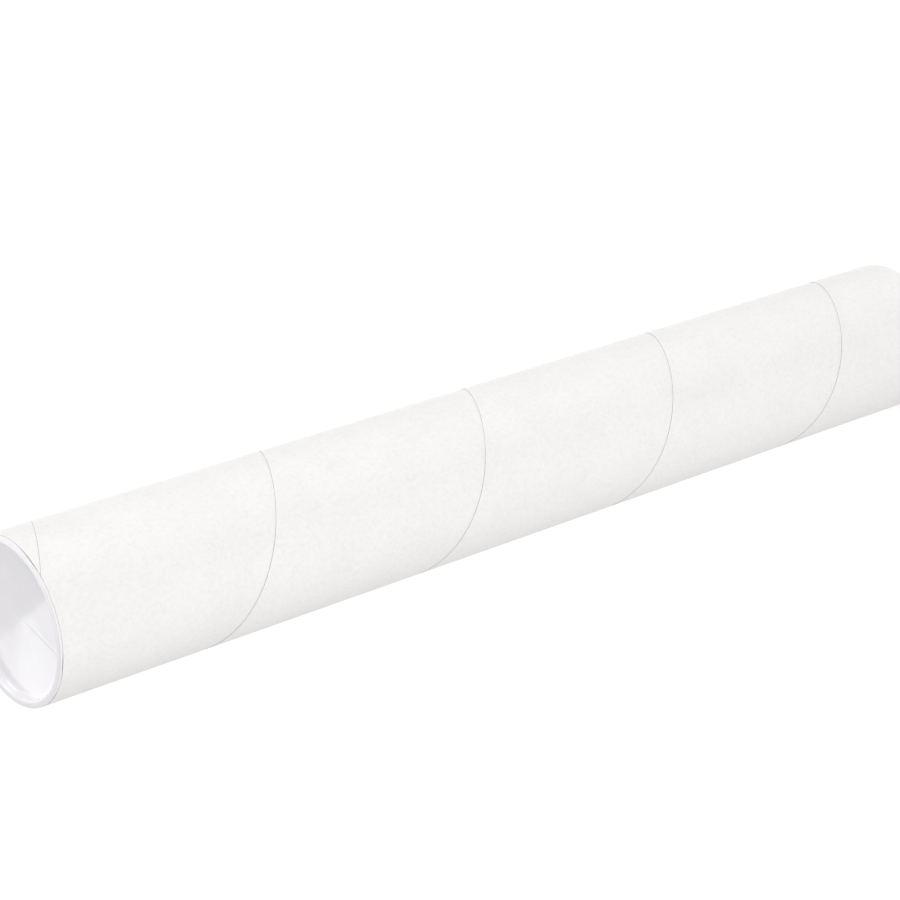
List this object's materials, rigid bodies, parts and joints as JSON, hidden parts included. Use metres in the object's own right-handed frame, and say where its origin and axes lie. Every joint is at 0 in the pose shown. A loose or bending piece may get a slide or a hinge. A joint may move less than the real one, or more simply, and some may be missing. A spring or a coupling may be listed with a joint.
{
  "type": "cardboard mailing tube",
  "caption": "Long round white paperboard mailing tube with a spiral seam, closed at each end by a push-in white plastic cap. It carries rolled papers by post.",
  "frame": {"origin": "centre of the underside of the bottom cap's flange, on which the tube stands", "axes": "+Z along the tube's axis from the bottom cap to the top cap; +X points to where the seam meets the tube's top end"},
  "size_m": [0.084, 0.084, 0.6026],
  "materials": {
    "white_paperboard": "matte",
    "white_plastic": "satin"
  },
  "bodies": {
    "bottom_plug": {"bottom_cap": "white_plastic"},
    "tube": {"tube_body": "white_paperboard"},
    "top_plug": {"top_cap": "white_plastic"}
  },
  "joints": [
    {"name": "bottom_cap_pull", "type": "slide", "parent": "bottom_plug", "child": "tube", "axis": [0, 0, 1], "range_m": [0, 0.05]},
    {"name": "top_cap_pull", "type": "slide", "parent": "tube", "child": "top_plug", "axis": [0, 0, 1], "range_m": [0, 0.05]}
  ]
}
